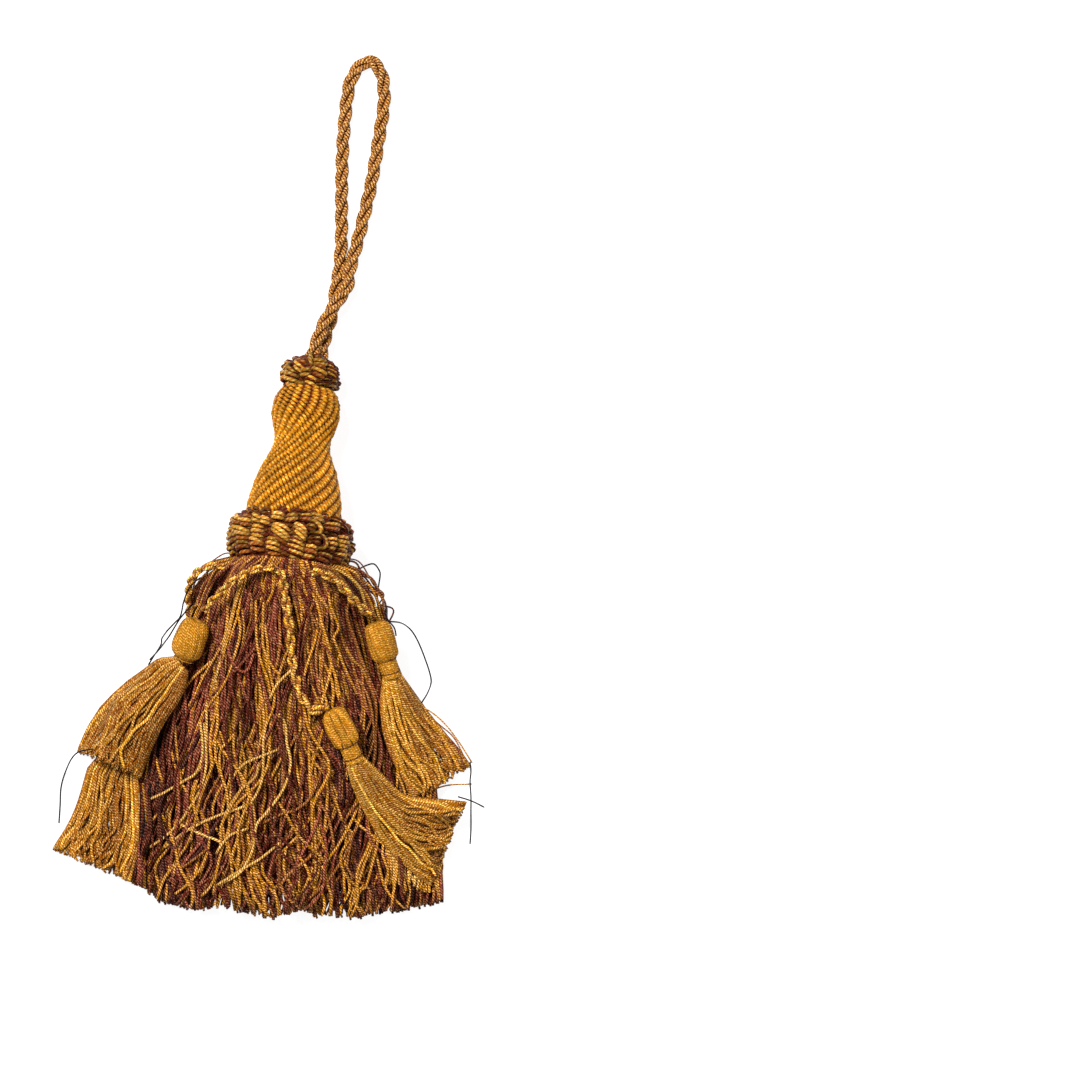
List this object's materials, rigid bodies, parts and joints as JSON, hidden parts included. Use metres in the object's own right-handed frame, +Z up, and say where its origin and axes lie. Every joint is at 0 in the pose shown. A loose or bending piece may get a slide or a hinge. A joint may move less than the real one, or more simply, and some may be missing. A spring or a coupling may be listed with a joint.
{
  "type": "curtain tieback tassel",
  "caption": "Yarn tassel for a curtain tieback, lying flat: cord hanging loop, ribbed covered head between two wound ruffs, cut yarn skirt and small gold tassels on cords.",
  "frame": {"origin": "on the surface it lies on, under the middle of the box of the tassel without its cords", "axes": "+Y up the tassel from its cut fringe towards the hanging loop; +X across it; +Z up from the surface it lies on"},
  "size_m": [0.1455, 0.3023, 0.0478],
  "materials": {
    "mixed_cord": "twisted gold and burgundy rayon cord, soft sheen",
    "gold_covering": "wound gold rayon yarn, soft sheen",
    "gold_yarn": "cut two-ply gold rayon yarn, soft sheen",
    "mixed_yarn": "cut two-ply rayon yarns, gold, tan, burgundy and plum, soft sheen"
  },
  "bodies": {
    "root": {"loop_cord": "mixed_cord", "crown_ruff": "mixed_cord", "head": "gold_covering", "collar_ruff": "mixed_cord", "skirt": "mixed_yarn", "hanger_cord_left_lower": "mixed_cord", "small_head_left_lower": "gold_covering", "small_skirt_left_lower": "gold_yarn", "hanger_cord_left": "mixed_cord", "small_head_left": "gold_covering", "small_skirt_left": "gold_yarn", "hanger_cord_right": "mixed_cord", "small_head_right": "gold_covering", "small_skirt_right": "gold_yarn", "hanger_cord_middle": "mixed_cord", "small_head_middle": "gold_covering", "small_skirt_middle": "gold_yarn"}
  },
  "joints": []
}
